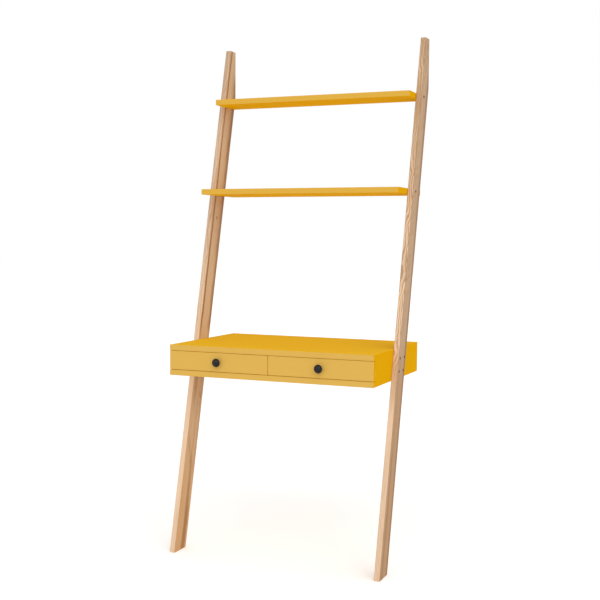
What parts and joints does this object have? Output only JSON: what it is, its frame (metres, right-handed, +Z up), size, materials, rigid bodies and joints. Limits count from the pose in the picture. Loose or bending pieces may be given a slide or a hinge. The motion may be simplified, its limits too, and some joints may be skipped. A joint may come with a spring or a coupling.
{
  "type": "ladder desk",
  "caption": "Leaning ladder desk: wooden legs that rest on floor and wall carry painted shelves and a painted desk box with sliding drawers and round knobs.",
  "frame": {"origin": "on the floor under the middle of the whole object's box", "axes": "+X to the right seen from the front, +Y towards the wall that the legs lean on, +Z up"},
  "size_m": [0.775, 0.524, 1.8],
  "materials": {
    "ash_wood": "clear matt lacquered ash with long grain",
    "yellow_paint": "satin yellow paint on fibreboard",
    "drawer_plywood": "clear lacquered birch plywood",
    "beech_wood": "plain beech",
    "black_knob": "semi-gloss black",
    "black_bolt": "black oxide",
    "insert_metal": "plain brass",
    "screw_steel": "zinc plated"
  },
  "bodies": {
    "frame": {"back_panel": "yellow_paint", "carcass_dowels": "beech_wood", "carcass_screws": "screw_steel", "center_divider": "yellow_paint", "desk_bolts": "black_bolt", "desk_bottom": "yellow_paint", "desk_inserts": "insert_metal", "desk_top": "yellow_paint", "left_inner_runner": "beech_wood", "left_leg": "ash_wood", "left_outer_runner": "beech_wood", "left_side_panel": "yellow_paint", "lower_shelf": "yellow_paint", "right_inner_runner": "beech_wood", "right_leg": "ash_wood", "right_outer_runner": "beech_wood", "right_side_panel": "yellow_paint", "runner_screws": "screw_steel", "shelf_bolts": "black_bolt", "shelf_dowels": "beech_wood", "shelf_inserts": "insert_metal", "upper_shelf": "yellow_paint"},
    "left_drawer": {"left_drawer_back": "drawer_plywood", "left_drawer_base": "drawer_plywood", "left_drawer_front": "yellow_paint", "left_drawer_inner_front": "drawer_plywood", "left_drawer_inner_side": "drawer_plywood", "left_drawer_outer_side": "drawer_plywood", "left_front_screws": "screw_steel", "left_knob": "black_knob", "left_knob_screw": "screw_steel", "left_stop_pins": "screw_steel"},
    "right_drawer": {"right_drawer_back": "drawer_plywood", "right_drawer_base": "drawer_plywood", "right_drawer_front": "yellow_paint", "right_drawer_inner_front": "drawer_plywood", "right_drawer_inner_side": "drawer_plywood", "right_drawer_outer_side": "drawer_plywood", "right_front_screws": "screw_steel", "right_knob": "black_knob", "right_knob_screw": "screw_steel", "right_stop_pins": "screw_steel"}
  },
  "joints": [
    {"name": "left_drawer_slide", "type": "slide", "parent": "frame", "child": "left_drawer", "axis": [0, -1, 0], "range_m": [0, 0.23]},
    {"name": "right_drawer_slide", "type": "slide", "parent": "frame", "child": "right_drawer", "axis": [0, -1, 0], "range_m": [0, 0.23]}
  ]
}
